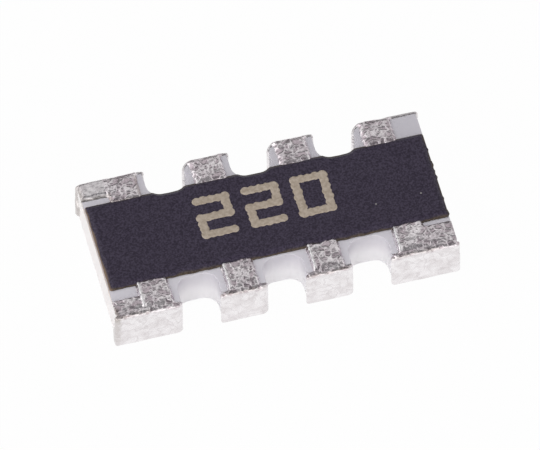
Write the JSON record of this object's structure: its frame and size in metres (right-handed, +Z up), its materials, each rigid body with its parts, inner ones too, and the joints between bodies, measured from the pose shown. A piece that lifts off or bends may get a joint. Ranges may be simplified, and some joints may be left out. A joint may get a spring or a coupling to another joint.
{
  "type": "chip resistor network",
  "caption": "Thick-film resistor network on a notched white ceramic chip, with convex tin-plated terminals on both long sides and a dark marked overcoat; soldered flat to a circuit board.",
  "frame": {"origin": "middle of the chip, in the plane that its eight plated feet stand on", "axes": "+X along the chip, +Y across it from terminals 1 to 4 towards terminals 5 to 8, +Z up out of the marked face"},
  "size_m": [0.0032, 0.0016, 0.0005],
  "materials": {
    "alumina": "matte",
    "overcoat_resin": "satin",
    "marking_ink": "matte",
    "silver_film": "matte",
    "edge_metal": "matte",
    "nickel": "satin",
    "tin": "satin",
    "resistive_film": "matte",
    "glass_film": "gloss"
  },
  "bodies": {
    "root": {"ceramic_substrate": "alumina", "overcoat": "overcoat_resin", "value_marking": "marking_ink", "top_electrode_1": "silver_film", "top_electrode_2": "silver_film", "top_electrode_3": "silver_film", "top_electrode_4": "silver_film", "top_electrode_5": "silver_film", "top_electrode_6": "silver_film", "top_electrode_7": "silver_film", "top_electrode_8": "silver_film", "bottom_electrode_1": "silver_film", "bottom_electrode_2": "silver_film", "bottom_electrode_3": "silver_film", "bottom_electrode_4": "silver_film", "bottom_electrode_5": "silver_film", "bottom_electrode_6": "silver_film", "bottom_electrode_7": "silver_film", "bottom_electrode_8": "silver_film", "edge_electrode_1": "edge_metal", "edge_electrode_2": "edge_metal", "edge_electrode_3": "edge_metal", "edge_electrode_4": "edge_metal", "edge_electrode_5": "edge_metal", "edge_electrode_6": "edge_metal", "edge_electrode_7": "edge_metal", "edge_electrode_8": "edge_metal", "nickel_barrier_1": "nickel", "nickel_barrier_2": "nickel", "nickel_barrier_3": "nickel", "nickel_barrier_4": "nickel", "nickel_barrier_5": "nickel", "nickel_barrier_6": "nickel", "nickel_barrier_7": "nickel", "nickel_barrier_8": "nickel", "tin_plating_1": "tin", "tin_plating_2": "tin", "tin_plating_3": "tin", "tin_plating_4": "tin", "tin_plating_5": "tin", "tin_plating_6": "tin", "tin_plating_7": "tin", "tin_plating_8": "tin", "resistor_film_1": "resistive_film", "resistor_film_2": "resistive_film", "resistor_film_3": "resistive_film", "resistor_film_4": "resistive_film", "glass_passivation_1": "glass_film", "glass_passivation_2": "glass_film", "glass_passivation_3": "glass_film", "glass_passivation_4": "glass_film"}
  },
  "joints": []
}
